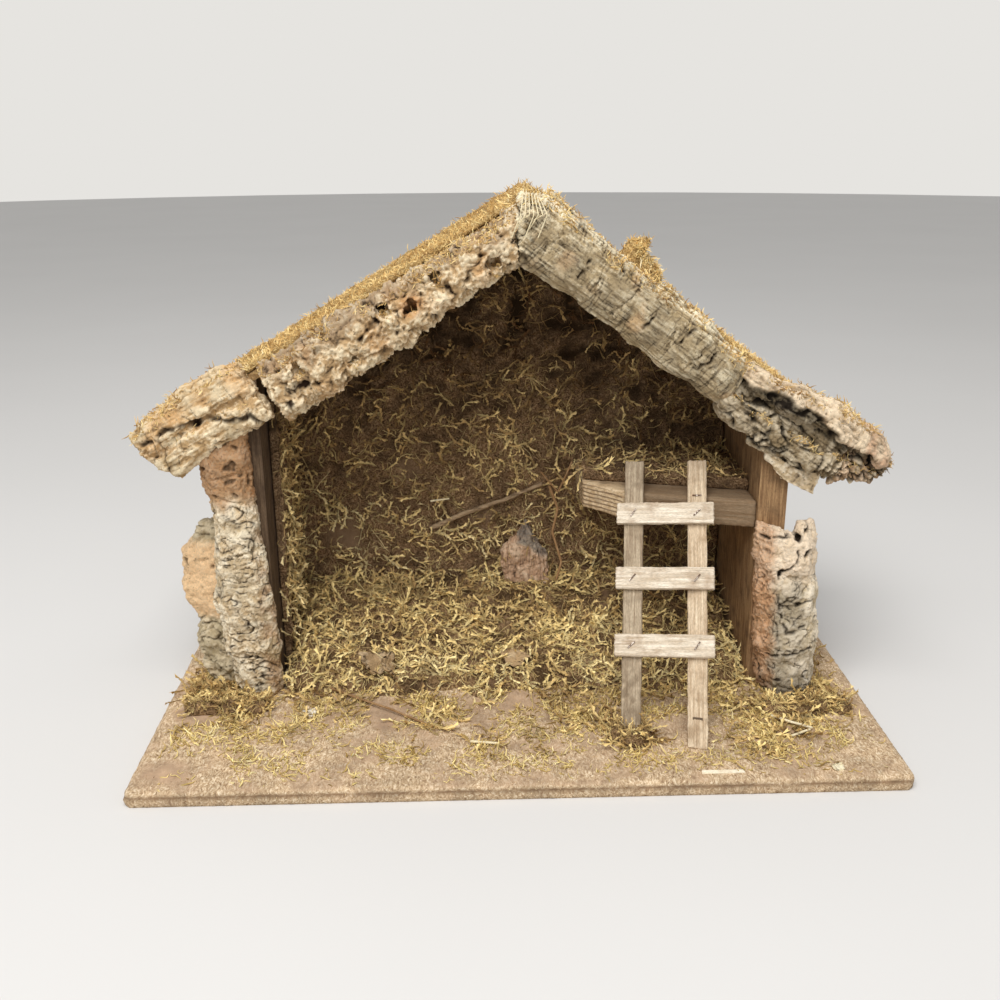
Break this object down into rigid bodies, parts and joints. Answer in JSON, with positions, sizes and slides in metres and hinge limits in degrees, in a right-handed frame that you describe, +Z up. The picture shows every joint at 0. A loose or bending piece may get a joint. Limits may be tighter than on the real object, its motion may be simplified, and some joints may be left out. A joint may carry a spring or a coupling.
{
  "type": "nativity stable",
  "caption": "Free-standing gabled stable of fibreboard dressed with cork bark and dried moss, open at the front, with a loft and a leaning ladder, for standing crib figures in.",
  "frame": {"origin": "centre of the base board's underside", "axes": "+X to the viewer's right, +Y from the open front to the back, +Z up"},
  "size_m": [0.466, 0.24, 0.327],
  "materials": {
    "fibreboard": "rough brown fibreboard",
    "wall_wood": "sawn, unfinished",
    "ladder_wood": "weathered grey-tan",
    "cork_bark": "rough cork bark",
    "weathered_bark": "grey-brown weathered",
    "roof_moss": "dried golden moss",
    "floor_moss": "dried olive moss",
    "steel_wire": "dull galvanised"
  },
  "bodies": {
    "root": {"base_board": "fibreboard", "back_panel": "fibreboard", "left_roof_panel": "fibreboard", "right_roof_panel": "fibreboard", "left_wall": "wall_wood", "right_wall": "wall_wood", "loft_board": "wall_wood", "ladder_left_rail": "ladder_wood", "ladder_right_rail": "ladder_wood", "ladder_top_rung": "ladder_wood", "ladder_middle_rung": "ladder_wood", "ladder_bottom_rung": "ladder_wood", "wood_splinter": "ladder_wood", "left_gable_bark": "cork_bark", "left_eave_bark": "cork_bark", "right_gable_bark": "cork_bark", "right_eave_bark": "cork_bark", "right_eave_flake": "cork_bark", "left_post_bark": "cork_bark", "left_side_bark": "cork_bark", "right_post_bark": "cork_bark", "twig": "weathered_bark", "bark_chip": "weathered_bark", "left_roof_moss": "roof_moss", "right_roof_moss": "roof_moss", "roof_tuft_moss": "roof_moss", "back_wall_moss": "floor_moss", "left_wall_moss": "floor_moss", "floor_moss": "floor_moss", "loft_moss": "floor_moss", "left_foot_moss": "floor_moss", "right_foot_moss": "floor_moss", "ladder_foot_moss": "floor_moss", "rung_staples": "steel_wire", "ladder_fixing_staples": "steel_wire", "wall_nails": "steel_wire", "back_nails": "steel_wire", "roof_nails": "steel_wire", "loft_nails": "steel_wire"}
  },
  "joints": []
}
